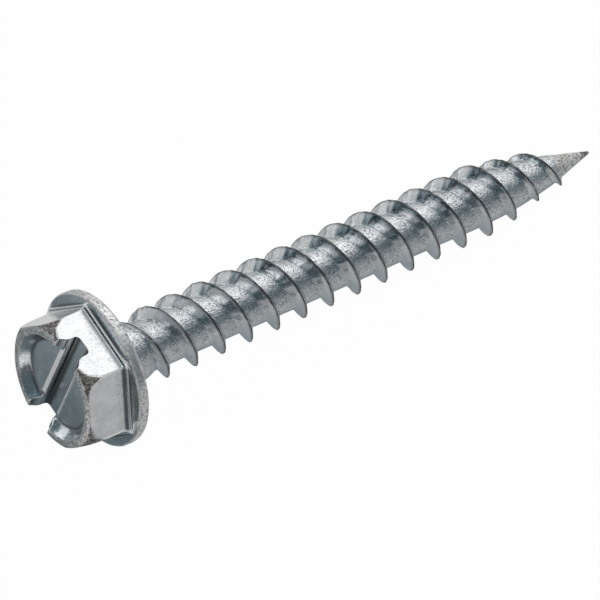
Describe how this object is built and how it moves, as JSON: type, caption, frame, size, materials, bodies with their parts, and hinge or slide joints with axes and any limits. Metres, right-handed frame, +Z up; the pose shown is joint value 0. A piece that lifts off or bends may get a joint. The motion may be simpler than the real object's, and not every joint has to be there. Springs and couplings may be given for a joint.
{
  "type": "hex washer head screw",
  "caption": "Zinc-plated sheet metal screw with a slotted, indented hex washer head, a coarse helical thread and a sharp gimlet point.",
  "frame": {"origin": "on the ground plane under the middle of the screw's bounding box, the screw lying at rest", "axes": "+X runs along the lying screw from its head to its point, +Z up; the screw's own axis dips towards the point because it rests on the flange's rim and on its thread"},
  "size_m": [0.042, 0.01, 0.0101],
  "materials": {
    "zinc_plated_steel": "bright zinc plating, thin brown wear on the crests and on the rim's edges"
  },
  "bodies": {
    "root": {"screw": "zinc_plated_steel"}
  },
  "joints": []
}
